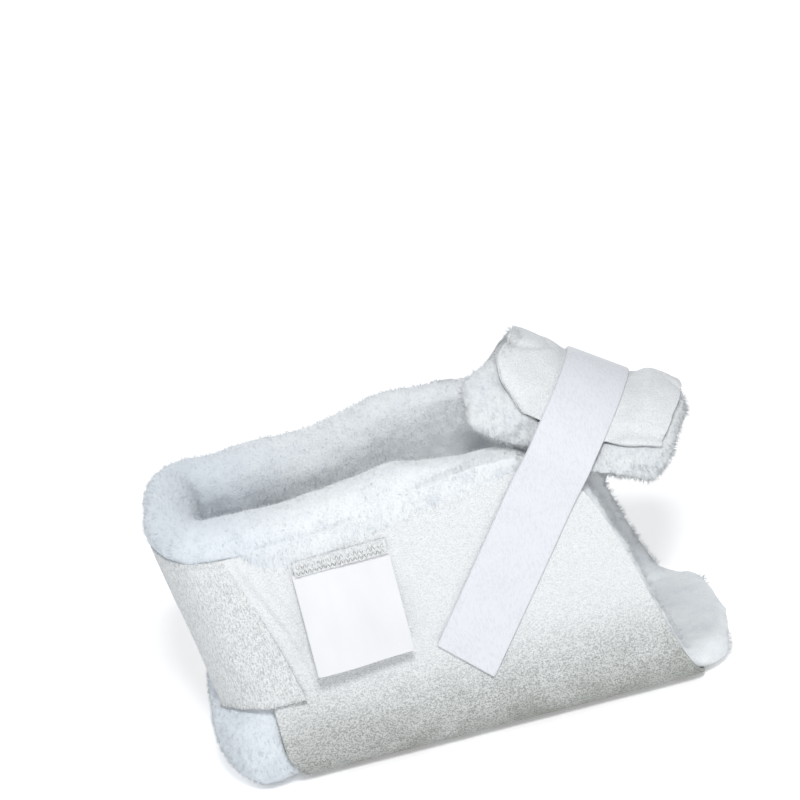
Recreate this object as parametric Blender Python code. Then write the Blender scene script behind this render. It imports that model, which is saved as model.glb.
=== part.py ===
"""Heel protector of synthetic fleece: a soft boot for the heel with a padded flap and a strap.

It rests on its long base. +X runs from the heel's sole towards the calf, -Y is the near side
with the label, and +Z is up. The origin is in the middle of the base, on the surface it rests on.
All lengths are in metres.
"""
import math

import bmesh
import bpy
import numpy as np
from mathutils import Vector

# Boot
BASE_LENGTH = 0.164      # cut edge of the base at the heel to its calf end
WIDTH = 0.084            # outside, at the base
HEIGHT = 0.0995          # upper edge of the cover at the sole
ANKLE_RISE = 0.011       # how much higher that edge is at the ankle
FAR_RISE = 0.007         # how much higher still it is on the far side, below the flap
SOLE_RISE = 0.003        # how much higher that edge is across the sole
BASE_RADIUS = 0.015      # rounding between the base and the sides
CORNER_LENGTH = 0.021    # plan rounding at the sole, along X
CORNER_WIDTH = 0.026     # the same, along Y
SOLE_FLARE = 0.008       # how far the sole's upper edge leans out
HEEL_LEAN = 0.004        # how far a side leans in at the heel
ANKLE_LEAN = 0.010       # how far a side leans in at the ankle
NOTCH_HEIGHT = 0.0385    # open height of the cover beside the sole wrap
NOTCH_DROP = 0.0020      # how much lower the sole wrap hangs across the sole
CUT_SLANT = 0.0065       # how far back the cut edge runs under the base
PLEAT_DEPTH = 0.0022     # fold in the cover between sole and side
PLEAT_WIDTH = 0.0070
PLEAT_FOOT = 0.0127      # place of the fold at the notch, from the cut edge
PLEAT_HEAD = -0.0035     # the same at the upper edge, round the corner

# Cloths
COVER_THICKNESS = 0.0020
PILE_THICKNESS = 0.0100
PILE_SETBACK = 0.0010    # the pile ends this far inside the cover's calf edge
PILE_TAIL = 0.0095       # pile past the base's calf end
PILE_EDGE_ROUND = 0.0025 # how far the pile's cut edge is rounded
ROLL_HEIGHT = 0.0125     # pile above the cover's upper edge
ROLL_WIDTH = 0.0210
ROLL_OVERHANG = 0.0010   # how far the roll stands out past the cover
ROLL_DEPTH = 0.0260      # how far down the thick rim runs out
BULGE = 0.0040           # how far the pile swells out of the notch
BULGE_LIFT = 0.0008      # height of the swollen pile over the base's underside
GAP = 0.0003             # between pieces that touch
FLAP_GAP = 0.0012        # between the flap's backing and its pile

# Flap and strap
ANKLE_REACH = 0.1293     # cut edge to the middle of the flap's arch, along X
ARCH_DROP = 0.0197       # the arch's middle, below the ankle's upper edge
ARCH_TILT = math.radians(37)   # the strap's plane, from upright towards the calf
ARCH_RADIUS = 0.0349     # outside of the flap under the strap
FLAP_REACH = 0.054       # the flap's farthest point towards the foot, from the strap's crossing
FLAP_THICKNESS = 0.0018
FLAP_PILE = 0.0095
FRINGE_ROUND = 0.0055    # how far in the pile's edges round over
FOOT_PUFF = 0.0018       # how far the flap swells on the foot's side of the strap
CALF_PUFF = 0.0050       # the same on the calf's side
PUFF_FALL = 0.35         # share of the swelling lost at the flap's edges
FLAP_LAP = 0.009         # the flap's seam allowance on the far side
FLAP_NEAR_END = math.radians(31)   # turn of the backing's near edge, up from level
FLAP_FAR_END = math.radians(148)
FLAP_SKEW = math.radians(11)       # how much higher that edge is at the calf's side
FRINGE_TURN = math.radians(21)     # pile past the near edge
PILE_LIFT = math.radians(13)       # the pile ends this much above the arch's far end
STRAP_WIDTH = 0.025
STRAP_THICKNESS = 0.0015
STRAP_NEAR_RUN = 0.0768  # below the arch's middle, on the near side
STRAP_FAR_RUN = 0.045
STRAP_NEAR_SHIFT = -0.0124  # the strap's middle on the near side, along the leg
STRAP_FAR_SHIFT = 0.005
STRAP_SKEW = 0.004       # the near end isn't cut quite square

# Label
LABEL_WIDTH = 0.0365
LABEL_HEIGHT = 0.0385
LABEL_THICKNESS = 0.0010
LABEL_FROM_CUT = 0.0195  # cut edge to the label's heel side
LABEL_TOP = 0.0880
LABEL_STANDOFF = 0.0045  # how far its free lower edge stands out

# The boot's calf edge: a row for each height. height is a share of the ankle's upper edge,
# reach a share of BASE_LENGTH from the cut edge.
EDGE_COLUMNS = ("height", "reach")
CALF_EDGE = (
    (1.000, 0.665),
    (0.955, 0.690),
    (0.827, 0.793),
    (0.782, 0.808),
    (0.668, 0.835),
    (0.545, 0.860),
    (0.464, 0.874),
    (0.345, 0.895),
    (0.255, 0.912),
    (0.136, 0.938),
)
FILLET_REACH = 0.975     # share of BASE_LENGTH where the rounding meets the base

# The upper edge along a side: share of the way to the calf edge, share of ANKLE_RISE,
# share of FAR_RISE, and how full the pile's rim is.
RIM_COLUMNS = ("along", "rise", "far_rise", "roll")
UPPER_EDGE = (
    (0.00, 0.00, 0.00, 1.00),
    (0.30, 0.00, 0.05, 1.00),
    (0.46, 0.18, 0.25, 1.00),
    (0.58, 0.42, 0.60, 0.95),
    (0.68, 0.62, 0.85, 0.52),
    (0.84, 0.82, 1.00, 0.14),
    (1.00, 1.00, 0.80, 0.00),
)

# The flap's edges on either side of the strap: share of the backing's way round the leg, then how far
# the backing and its pile reach towards the foot and the calf, as shares of FLAP_REACH.
FLAP_COLUMNS = ("round", "foot", "pile_foot", "calf", "pile_calf")
FLAP_EDGE = (
    (-0.08, 0.50, 0.92, 0.41, 0.52),
    (0.02, 0.61, 1.00, 0.42, 0.56),
    (0.12, 0.80, 0.98, 0.44, 0.58),
    (0.25, 0.84, 0.88, 0.48, 0.60),
    (0.41, 0.77, 0.78, 0.54, 0.64),
    (0.68, 0.65, 0.64, 0.61, 0.67),
    (1.00, 0.62, 0.60, 0.62, 0.67),
)

# Number of faces along each stretch
SIDE_CELLS, CORNER_CELLS, SOLE_CELLS = 14, 5, 4
WALL_CELLS, NOTCH_CELLS, FILLET_CELLS, BASE_CELLS = 7, 3, 4, 3
ROLL_CELLS = 5
FLAP_CELLS, SKIRT_CELLS, PUFF_CELLS, PRESSED_CELLS = 18, 5, 5, 3
FRINGE_CELLS = 4
PANEL_CELLS = 9
LABEL_CELLS = 6

CUT_X = -BASE_LENGTH / 2
ANKLE_TOP = HEIGHT + ANKLE_RISE
ARCH_MIDDLE = Vector((CUT_X + ANKLE_REACH, 0, ANKLE_TOP - ARCH_DROP))
UP_THE_STRAP = Vector((math.sin(ARCH_TILT), 0, math.cos(ARCH_TILT)))
DOWN_THE_LEG = Vector((math.cos(ARCH_TILT), 0, -math.sin(ARCH_TILT)))


def column(table, names, name):
    """One named column of a table."""
    return [row[names.index(name)] for row in table]


def clamp(value, low=0.0, high=1.0):
    return max(low, min(high, value))


def mix(a, b, share):
    return a + (b - a) * share


def ease(share):
    """0 to 1 with flat ends."""
    share = clamp(share)
    return share * share * (3 - 2 * share)


def shares(cells):
    return [k / cells for k in range(cells + 1)]


def upper_edge(along, name):
    """A column of UPPER_EDGE at a share of the way along a side."""
    return float(np.interp(along, column(UPPER_EDGE, RIM_COLUMNS, "along"),
                           column(UPPER_EDGE, RIM_COLUMNS, name)))


def calf_edge(z):
    """X of the boot's calf edge at a height on a side."""
    heights = [share * ANKLE_TOP for share in column(CALF_EDGE, EDGE_COLUMNS, "height")]
    reaches = column(CALF_EDGE, EDGE_COLUMNS, "reach")
    share = float(np.interp(z, heights[::-1], reaches[::-1]))
    return CUT_X + BASE_LENGTH * share


def lean_in(x, z):
    """How far a side stands inside WIDTH at a point on it."""
    along = clamp((x - CUT_X) / ANKLE_REACH, 0, 1.1)
    height = clamp((z - BASE_RADIUS) / (HEIGHT - BASE_RADIUS), 0, 1.2)
    return mix(HEEL_LEAN, ANKLE_LEAN, along) * height


def side_surface(x, z):
    """Distance of the cover's outside from the middle plane."""
    return WIDTH / 2 - lean_in(x, z)


def pleat(along, z):
    """How far the fold draws the cloth in; along is measured from the cut edge."""
    height = (z - NOTCH_HEIGHT) / (HEIGHT - NOTCH_HEIGHT)
    offset = (along - mix(PLEAT_FOOT, PLEAT_HEAD, clamp(height))) / PLEAT_WIDTH
    valley = math.exp(-offset * offset)
    ridge = math.exp(-(offset + 1.7) ** 2)
    fade = ease((z - BASE_RADIUS) / (NOTCH_HEIGHT - BASE_RADIUS))
    return PLEAT_DEPTH * fade * (valley - 0.5 * ridge)


def across_sole(place):
    """0 on the sides, rising round the corners to 1 across the sole."""
    return {"side": 0.0, "sole": 1.0}.get(place["part"], ease(1 - place["share"]))


def notch_top(place):
    """Lower edge of the sole wrap."""
    return NOTCH_HEIGHT - NOTCH_DROP * across_sole(place)


def rim_height(place):
    """Upper edge of the cover at a place along the boot's outline."""
    if place["part"] != "side":
        return HEIGHT + SOLE_RISE * across_sole(place)
    rise = ANKLE_RISE * upper_edge(place["share"], "rise")
    if place["hand"] > 0:
        rise += FAR_RISE * upper_edge(place["share"], "far_rise")
    return HEIGHT + rise


def roll_fullness(place):
    return upper_edge(place["share"], "roll") if place["part"] == "side" else 1.0


def outline(place, z, start_x=CUT_X, setback=0.0, end_x=None):
    """The boot's plan at height z: a point on the cover's outside, and its outward normal."""
    hand = place["hand"]
    reach = CORNER_LENGTH + SOLE_FLARE * clamp((z - NOTCH_HEIGHT) / (HEIGHT - NOTCH_HEIGHT), 0, 1.2)
    flat = side_surface(CUT_X, z) - CORNER_WIDTH
    if place["part"] == "side":
        end = (calf_edge(z) if end_x is None else end_x) - setback
        x = mix(start_x, end, place["share"])
        point, normal = Vector((x, hand * side_surface(x, z))), Vector((0.0, hand))
        along = x - CUT_X
    elif place["part"] == "corner":
        turn = place["share"] * math.pi / 2
        point = Vector((CUT_X - reach * math.cos(turn), hand * (flat + CORNER_WIDTH * math.sin(turn))))
        normal = Vector((-math.cos(turn) / reach, hand * math.sin(turn) / CORNER_WIDTH)).normalized()
        along = -CORNER_WIDTH * (math.pi / 2 - turn)
    else:
        point, normal = Vector((CUT_X - reach, place["share"] * flat)), Vector((-1.0, 0.0))
        along = -BASE_LENGTH
    return point - normal * pleat(along, z), normal


def boot_places():
    """Places along the boot's outline, from the near calf edge round the sole to the far one."""
    sides = [share ** 1.15 for share in shares(SIDE_CELLS)]
    near = [{"part": "side", "hand": -1, "share": share} for share in reversed(sides)]
    corner = [{"part": "corner", "hand": -1, "share": 1 - share} for share in shares(CORNER_CELLS)[1:]]
    sole = [{"part": "sole", "hand": 0, "share": -1 + 2 * share} for share in shares(SOLE_CELLS)[1:-1]]
    half = near + corner
    far = [dict(place, hand=1) for place in reversed(half)]
    return half + sole + far


def boot_levels():
    """Levels of the boot's wall, from the middle of the base up to the rim."""
    base = [("base", share) for share in shares(BASE_CELLS)]
    fillet = [("fillet", share) for share in shares(FILLET_CELLS)[1:]]
    notch = [("notch", share) for share in shares(NOTCH_CELLS)[1:]]
    wall = [("wall", share) for share in shares(WALL_CELLS)[1:]]
    return base + fillet + notch + wall


def pile_end(level):
    """How far inside the cover's calf end the pile ends at a level."""
    kind, share = level
    low = {"base": 1.0, "fillet": 1 - share}.get(kind, 0.0)
    return mix(PILE_SETBACK, -PILE_TAIL, ease(low))


def boot_point(place, level, inset, setback=0.0):
    """A point of the boot's wall, inset from the cover's outside."""
    kind, share = level
    radius = max(BASE_RADIUS - inset, GAP)
    middle = inset + radius
    if kind in ("wall", "notch"):
        foot, top = notch_top(place), rim_height(place)
        low, high = (foot, top) if kind == "wall" else (BASE_RADIUS, foot)
        z = mix(low, high, share)
        point, normal = outline(place, z, setback=setback)
        return Vector((*(point - normal * inset), max(z, middle)))
    turn = 0 if kind == "base" else share * math.pi / 2
    slant = 1 if kind == "base" else math.cos(turn)
    end_x = mix(calf_edge(BASE_RADIUS), CUT_X + BASE_LENGTH * FILLET_REACH, slant)
    start_x = CUT_X + CUT_SLANT * slant
    point, normal = outline(place, BASE_RADIUS, start_x, setback, end_x)
    low_point = point - normal * (middle - radius * math.sin(turn))
    z = middle - radius * math.cos(turn)
    if kind == "base":
        along = place["share"] if place["part"] == "side" else 0
        spine_end = CUT_X + BASE_LENGTH - setback
        spine = Vector((mix(start_x, spine_end, along), 0.0))
        if place["part"] != "side":
            spine.x -= 4 * GAP
        low_point = spine.lerp(low_point, share)
    return Vector((*low_point, z))


def material(name, colour, roughness):
    made = bpy.data.materials.new(name)
    made.use_nodes = True
    shader = made.node_tree.nodes["Principled BSDF"]
    shader.inputs["Base Color"].default_value = (*colour, 1)
    shader.inputs["Roughness"].default_value = roughness
    shader.inputs["Metallic"].default_value = 0
    return made


def add_object(name, points, faces, made_of):
    """An object from points and faces, with its coinciding points joined and its faces out."""
    mesh = bpy.data.meshes.new(name)
    mesh.from_pydata(points, [], faces)
    work = bmesh.new()
    work.from_mesh(mesh)
    bmesh.ops.remove_doubles(work, verts=work.verts, dist=1e-6)
    bmesh.ops.dissolve_degenerate(work, edges=work.edges, dist=1e-7)
    bmesh.ops.recalc_face_normals(work, faces=work.faces)
    work.to_mesh(mesh)
    work.free()
    mesh.shade_smooth()
    mesh.set_sharp_from_angle(angle=math.radians(50))
    mesh.materials.append(made_of)
    made = bpy.data.objects.new(name, mesh)
    bpy.context.scene.collection.objects.link(made)
    return made


def thicken(sheet, thickness, outwards):
    """Gives a sheet whose faces look outwards its thickness, inwards or outwards."""
    solid = sheet.modifiers.new("thickness", "SOLIDIFY")
    solid.thickness = thickness
    solid.offset = 1 if outwards else -1
    solid.use_even_offset = True
    solid.use_rim = True


def face_outwards(sheet, toward):
    """Turns a sheet over when its faces look towards a point inside the boot."""
    mesh = sheet.data
    looks_out = sum(face.normal.dot(face.center - toward) * face.area for face in mesh.polygons)
    if looks_out < 0:
        mesh.flip_normals()


def grid_faces(rows, row_length, keep=None):
    """Faces between neighbours of a grid whose points are numbered row by row."""
    faces = []
    for i in range(rows - 1):
        for j in range(row_length - 1):
            if keep is None or keep(i, j):
                a = i * row_length + j
                faces.append((a, a + 1, a + row_length + 1, a + row_length))
    return faces


def make_outer_cover(made_of):
    """One cloth: both sides, the base and the wrap round the sole, open at the notch."""
    places, levels = boot_places(), boot_levels()
    points = [boot_point(place, level, 0) for place in places for level in levels]
    first_open = SIDE_CELLS
    last_open = len(places) - 2 - SIDE_CELLS
    notch_top = BASE_CELLS + FILLET_CELLS + NOTCH_CELLS

    def keep(i, j):
        return j >= notch_top or i < first_open or i > last_open

    cover = add_object("outer_cover", points, grid_faces(len(places), len(levels), keep), made_of)
    drop_loose_points(cover)
    face_outwards(cover, Vector((0, 0, HEIGHT / 2)))
    thicken(cover, COVER_THICKNESS, outwards=False)


def drop_loose_points(made):
    work = bmesh.new()
    work.from_mesh(made.data)
    loose = [vert for vert in work.verts if not vert.link_faces]
    bmesh.ops.delete(work, geom=loose, context="VERTS")
    work.to_mesh(made.data)
    work.free()


def lining_inset(place, level):
    """Inset of the pile's outer side: it swells out where the notch leaves it free."""
    kept_in = COVER_THICKNESS + GAP
    kind, share = level
    free = place["part"] != "side"
    if not free or kind == "wall" or level == ("notch", 1.0):
        return kept_in
    round_under = math.sin(share * math.pi / 2) ** 1.2
    swollen = {"notch": -BULGE, "fillet": mix(BULGE_LIFT, -BULGE, round_under), "base": BULGE_LIFT}[kind]
    corner = ease((1 - place["share"]) * 2.5) if place["part"] == "corner" else 1.0
    return mix(kept_in, swollen, corner)


def inner_inset(place, level, rim):
    """Inset of the pile's inner side, thicker towards the rolled rim."""
    thickness = COVER_THICKNESS + GAP + PILE_THICKNESS
    if level[0] != "wall":
        return thickness
    below = (1 - level[1]) * (rim - notch_top(place))
    full = ease(1 - below / ROLL_DEPTH) * roll_fullness(place)
    return mix(thickness, max(thickness, ROLL_WIDTH - ROLL_OVERHANG), full)


def roll_points(place):
    """The pile's rim over the cover's upper edge, from its outer side to its inner side."""
    full, rim = roll_fullness(place), rim_height(place)
    kept_in = COVER_THICKNESS + GAP
    inner = inner_inset(place, ("wall", 1.0), rim)
    outer = mix(kept_in, -ROLL_OVERHANG, full)
    height = mix(GAP, ROLL_HEIGHT, full)
    foot = mix(-GAP, 2 * GAP + COVER_THICKNESS / 2, ease(full * 3))
    middle, half = (inner + outer) / 2, (inner - outer) / 2
    points = []
    for share in shares(ROLL_CELLS):
        turn = math.pi * share
        z = rim + foot * math.cos(turn / 2) ** 2 + height * math.sin(turn)
        inset = middle - half * math.cos(turn)
        point, normal = outline(place, rim, setback=PILE_SETBACK)
        points.append(Vector((*(point - normal * inset), z)))
    return points


def end_strip(row, first, made, outwards):
    """Closes the pile's cut end with a rounded strip between its outer and its inner side."""
    pairs = [(first + k, first + len(row) - 1 - k) for k in range(len(row) // 2)]
    hubs = []
    for a, b in pairs:
        middle = (row[a - first] + row[b - first]) / 2
        hubs.append(len(made["points"]))
        made["points"].append(middle + Vector((PILE_EDGE_ROUND, 0, 0)))
    for k in range(len(pairs) - 1):
        (a, b), (c, d) = pairs[k], pairs[k + 1]
        quads = [(a, c, hubs[k + 1], hubs[k]), (hubs[k], hubs[k + 1], d, b)]
        made["faces"] += quads if outwards else [quad[::-1] for quad in quads]
    (a, b), hub = pairs[-1], hubs[-1]
    tip = (a, a + 1, b, hub) if len(row) % 2 else (a, b, hub)
    made["faces"].append(tip if outwards else tip[::-1])


def make_pile_lining(made_of):
    """The pile: a closed cup and trough with a thick rolled rim."""
    places, levels = boot_places(), boot_levels()
    rows = []
    for place in places:
        rim = rim_height(place)
        outer = [boot_point(place, level, lining_inset(place, level), pile_end(level)) for level in levels]
        outer[-1].z += mix(-GAP, 2 * GAP, ease(roll_fullness(place) * 3))
        inner = [boot_point(place, level, inner_inset(place, level, rim), pile_end(level))
                 for level in levels[:-1]]
        rows.append(outer + roll_points(place) + inner[::-1])
    made = {"points": [point for row in rows for point in row], "faces": grid_faces(len(rows), len(rows[0]))}
    end_strip(rows[0], 0, made, True)
    end_strip(rows[-1], (len(rows) - 1) * len(rows[0]), made, False)
    add_object("pile_lining", made["points"], made["faces"], made_of)


def strap_middle(y):
    """Place of the strap's middle along the leg where it is at y."""
    edge = side_surface(ARCH_MIDDLE.x, ARCH_MIDDLE.z)
    return mix(STRAP_NEAR_SHIFT, STRAP_FAR_SHIFT, clamp((y + edge) / (2 * edge)))


def arch_place(along, y, up):
    """A point by its place along the leg, across it, and up the strap's plane."""
    return ARCH_MIDDLE + DOWN_THE_LEG * along + UP_THE_STRAP * up + Vector((0, y, 0))


def seam_line(hand):
    """The side's upper and calf edge as (place along the leg, height up the strap's plane)."""
    line = []
    for share in shares(SIDE_CELLS)[SIDE_CELLS // 2:]:
        place = {"part": "side", "hand": hand, "share": share}
        line.append(boot_point(place, ("wall", 1.0), 0))
    for share in column(CALF_EDGE, EDGE_COLUMNS, "height")[1:]:
        z = share * ANKLE_TOP
        line.append(Vector((calf_edge(z), 0, z)))
    flat = [point - ARCH_MIDDLE for point in line]
    return sorted((point.dot(DOWN_THE_LEG), point.dot(UP_THE_STRAP)) for point in flat)


def seam_height(along, line):
    return float(np.interp(along, [point[0] for point in line], [point[1] for point in line]))


def flap_reach(turn, name):
    """A column of FLAP_EDGE at a turn round the leg, as a length."""
    share = (turn - FLAP_NEAR_END) / (FLAP_FAR_END - FLAP_NEAR_END)
    return FLAP_REACH * float(np.interp(share, column(FLAP_EDGE, FLAP_COLUMNS, "round"),
                                        column(FLAP_EDGE, FLAP_COLUMNS, name)))


def pressed_strip(turn):
    """Both edges of the strip that the strap presses flat, along the leg."""
    middle = strap_middle(-math.cos(turn) * ARCH_RADIUS)
    half = STRAP_WIDTH / 2 + 2 * GAP
    return middle - half, middle + half


def flap_alongs(turn, foot, calf, rounding=0.0):
    """Places along the leg of a flap piece's grid: puff, pressed strip under the strap, puff."""
    low, high = rounding - flap_reach(turn, foot), flap_reach(turn, calf) - rounding
    left, right = pressed_strip(turn)
    first = [mix(low, left, share) for share in shares(PUFF_CELLS)]
    pressed = [mix(left, right, share) for share in shares(PRESSED_CELLS)[1:]]
    last = [mix(right, high, share) for share in shares(PUFF_CELLS)[1:]]
    return first + pressed + last


def flap_puff(along, turn):
    """How far the flap stands out past the strip that the strap presses."""
    left, right = pressed_strip(turn)
    if along < left:
        share, puff = (left - along) / (left + flap_reach(turn, "pile_foot")), FOOT_PUFF
    elif along > right:
        share, puff = (along - right) / (flap_reach(turn, "pile_calf") - right), CALF_PUFF
    else:
        return 0.0
    return puff * ease(3 * share) * (1 - PUFF_FALL * min(share, 1.0) ** 5)


def flap_turn(share, along, first, last=FLAP_FAR_END):
    """Turn round the leg: the near edge is skewed, and the far end is straight."""
    strap_edge = STRAP_NEAR_SHIFT + STRAP_WIDTH / 2
    calf_side = clamp((along - strap_edge) / (flap_reach(FLAP_NEAR_END, "pile_calf") - strap_edge))
    return mix(first + FLAP_SKEW * calf_side, last, share)


def arch_point(along, turn, radius):
    return arch_place(along, -math.cos(turn) * radius, math.sin(turn) * radius)


def skirt_start(along):
    """Where the flap leaves its arch on the far side: distance from the middle plane, and height."""
    radius = ARCH_RADIUS + flap_puff(along, FLAP_FAR_END)
    return -math.cos(FLAP_FAR_END) * radius, math.sin(FLAP_FAR_END) * radius


def skirt_point(along, share, seam, lift=0.0):
    """A point on the backing's outside between its arch and its seam on the far side."""
    start_y, start_up = skirt_start(along)
    edge = seam_height(along, seam)
    up = mix(start_up, edge - FLAP_LAP, share)
    spot = arch_place(along, 0, up)
    lying = side_surface(spot.x, spot.z) + GAP + FLAP_THICKNESS
    above = ease((up - edge - 2 * FLAP_THICKNESS) / (start_up - edge - 2 * FLAP_THICKNESS))
    return arch_place(along, mix(lying, start_y, above) + lift, up)


def make_flap_backing(made_of):
    """The flap's backing: an arch from its free near end down to its seam on the far side."""
    seam = seam_line(1)
    rows = []
    for share in shares(FLAP_CELLS):
        nominal = mix(FLAP_NEAR_END, FLAP_FAR_END, share)
        rows.append([arch_point(along, flap_turn(share, along, FLAP_NEAR_END),
                                ARCH_RADIUS + flap_puff(along, nominal))
                     for along in flap_alongs(nominal, "foot", "calf")])
    for share in shares(SKIRT_CELLS)[1:]:
        rows.append([skirt_point(along, share, seam)
                     for along in flap_alongs(FLAP_FAR_END, "foot", "calf")])
    points = [point for row in rows for point in row]
    backing = add_object("ankle_flap_backing", points, grid_faces(len(rows), len(rows[0])), made_of)
    face_outwards(backing, ARCH_MIDDLE)
    thicken(backing, FLAP_THICKNESS, outwards=False)


def flap_section(share, fullness):
    """A closed section of the flap's pile at a share of the way round the leg, with round ends."""
    first, last = FLAP_NEAR_END - FRINGE_TURN, FLAP_FAR_END - PILE_LIFT
    nominal = mix(first, last, share)
    alongs = flap_alongs(nominal, "pile_foot", "pile_calf", FRINGE_ROUND)
    inner = ARCH_RADIUS - FLAP_THICKNESS - FLAP_GAP - FLAP_PILE
    pairs = []
    for along in alongs:
        outer = ARCH_RADIUS + flap_puff(along, nominal) - FLAP_THICKNESS - FLAP_GAP
        outer -= (outer - inner) * (1 - fullness) / 4
        pairs.append((along, outer, mix(outer, inner, fullness)))

    def round_end(pair, width):
        along, high, low = pair
        middle, half = (high + low) / 2, (high - low) / 2
        turns = [math.pi * part for part in shares(FRINGE_CELLS)[1:-1]]
        return [(along + width * math.sin(turn), middle + half * math.cos(turn)) for turn in turns]

    loop = [(along, high) for along, high, low in pairs]
    loop += round_end(pairs[-1], FRINGE_ROUND * fullness)
    loop += [(along, low) for along, high, low in reversed(pairs)]
    loop += reversed(round_end(pairs[0], -FRINGE_ROUND * fullness))
    return [arch_point(along, flap_turn(share, along, first, last), radius) for along, radius in loop]


def make_flap_pile(made_of):
    """The pile under the flap, from its fringe at the near end to just above the far side."""
    rounding = 1 / (2 * FLAP_CELLS)
    spread = [mix(rounding, 1 - rounding, share) for share in shares(FLAP_CELLS - 2)]
    sections = [flap_section(0, 0.5)]
    sections += [flap_section(share, 0.8 if share == spread[0] else 1.0) for share in spread]
    sections.append(flap_section(1, 0.5))
    length = len(sections[0])
    points = [point for section in sections for point in section]
    faces = []
    for i in range(len(sections) - 1):
        for j in range(length):
            a, b = i * length + j, i * length + (j + 1) % length
            faces.append((a, b, b + length, a + length))
    for section, first_point, turned in ((sections[0], 0, True), (sections[-1], len(points) - length, False)):
        hub = len(points)
        points.append(sum(section, Vector()) / length)
        for j in range(length):
            a, b = first_point + j, first_point + (j + 1) % length
            faces.append((b, a, hub) if turned else (a, b, hub))
    add_object("ankle_flap_pile", points, faces, made_of)


def on_side(along, up, hand, lift):
    """A point that lies on a side's outside, lifted off it."""
    spot = arch_place(along, 0, up)
    spot.y = hand * (side_surface(spot.x, spot.z) + lift)
    return spot


def make_strap(made_of):
    """The strap: sewn low on the far side, over the flap, and stuck down on the near side."""
    acrosses = [STRAP_WIDTH * (share - 0.5) for share in shares(PRESSED_CELLS)]
    seam_far, seam_near = seam_line(1), seam_line(-1)
    leave = min(seam_height(STRAP_NEAR_SHIFT + across, seam_near) for across in acrosses)
    leave -= 3 * STRAP_THICKNESS
    rows = []
    for share in shares(PANEL_CELLS):
        row = []
        for across in acrosses:
            skew = STRAP_SKEW * (across / STRAP_WIDTH) * (1 - share)
            up = mix(-STRAP_NEAR_RUN, leave, share) - skew
            row.append(on_side(STRAP_NEAR_SHIFT + across, up, -1, GAP))
        rows.append(row)
    for share in shares(FLAP_CELLS + 3):
        turn = mix(FLAP_NEAR_END - FRINGE_TURN, FLAP_FAR_END, share)
        middle = strap_middle(-math.cos(turn) * ARCH_RADIUS)
        rows.append([arch_point(middle + across, turn, ARCH_RADIUS + GAP) for across in acrosses])
    middle = strap_middle(-math.cos(FLAP_FAR_END) * ARCH_RADIUS)
    for share in shares(SKIRT_CELLS)[1:]:
        rows.append([skirt_point(middle + across, share, seam_far, 2 * GAP) for across in acrosses])
    lap_end = min(seam_height(middle + across, seam_far) for across in acrosses) - FLAP_LAP
    for share in shares(PANEL_CELLS // 3):
        up = mix(lap_end - 4 * STRAP_THICKNESS, -STRAP_FAR_RUN, share)
        rows.append([on_side(middle + across, up, 1, GAP) for across in acrosses])
    points = [point for row in rows for point in row]
    strap = add_object("strap", points, grid_faces(len(rows), len(rows[0])), made_of)
    face_outwards(strap, ARCH_MIDDLE - UP_THE_STRAP * ARCH_DROP)
    thicken(strap, STRAP_THICKNESS, outwards=True)


def make_label(made_of):
    """The label: sewn along its top, with its lower edge standing out."""
    points = []
    for down in shares(LABEL_CELLS):
        for across in shares(LABEL_CELLS):
            x = CUT_X + LABEL_FROM_CUT + LABEL_WIDTH * across
            z = LABEL_TOP - LABEL_HEIGHT * down
            stand = GAP + LABEL_STANDOFF * down ** 1.5
            points.append(Vector((x, -side_surface(x, z) - stand, z)))
    cells = LABEL_CELLS + 1
    label = add_object("label", points, grid_faces(cells, cells), made_of)
    face_outwards(label, Vector((0, 0, HEIGHT / 2)))
    thicken(label, LABEL_THICKNESS, outwards=True)


def build():
    for old in list(bpy.data.objects):
        bpy.data.objects.remove(old)
    knit = material("knit_backing", (0.84, 0.85, 0.85), 0.95)
    pile = material("fleece_pile", (0.80, 0.85, 0.89), 1.0)
    webbing = material("strap_webbing", (0.82, 0.84, 0.92), 0.8)
    satin = material("label_satin", (0.90, 0.90, 0.93), 0.5)
    make_outer_cover(knit)
    make_pile_lining(pile)
    make_flap_backing(knit)
    make_flap_pile(pile)
    make_strap(webbing)
    make_label(satin)


build()
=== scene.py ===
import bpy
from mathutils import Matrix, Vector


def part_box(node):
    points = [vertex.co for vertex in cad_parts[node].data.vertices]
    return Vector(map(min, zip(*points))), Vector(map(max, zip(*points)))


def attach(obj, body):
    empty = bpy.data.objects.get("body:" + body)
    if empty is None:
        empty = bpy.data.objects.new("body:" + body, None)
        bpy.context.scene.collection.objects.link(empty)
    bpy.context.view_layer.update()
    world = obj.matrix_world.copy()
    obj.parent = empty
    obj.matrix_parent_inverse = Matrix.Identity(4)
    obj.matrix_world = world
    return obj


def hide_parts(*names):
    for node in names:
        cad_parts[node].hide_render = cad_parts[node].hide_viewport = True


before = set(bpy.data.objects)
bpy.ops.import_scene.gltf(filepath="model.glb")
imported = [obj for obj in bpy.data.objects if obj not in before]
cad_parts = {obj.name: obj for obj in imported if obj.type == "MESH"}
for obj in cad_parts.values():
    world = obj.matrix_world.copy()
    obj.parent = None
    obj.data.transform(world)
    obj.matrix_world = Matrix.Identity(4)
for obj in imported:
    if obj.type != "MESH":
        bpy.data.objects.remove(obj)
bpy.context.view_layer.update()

import math
import random

import bpy
from mathutils import Matrix, Vector, noise
from mathutils.bvhtree import BVHTree

body = "root"
millimetre = 0.001
random.seed(7)


# Small helpers for working on one object at a time
def selectOnly(obj):
    bpy.ops.object.select_all(action="DESELECT")
    obj.select_set(True)
    bpy.context.view_layer.objects.active = obj


def clamp(value, low=0.0, high=1.0):
    return max(low, min(high, value))


def ease(share):
    share = clamp(share)
    return share * share * (3 - 2 * share)


def mix(a, b, share):
    return a + (b - a) * share


def linked(name, mesh):
    obj = bpy.data.objects.new(name, mesh)
    bpy.context.scene.collection.objects.link(obj)
    return obj


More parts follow.
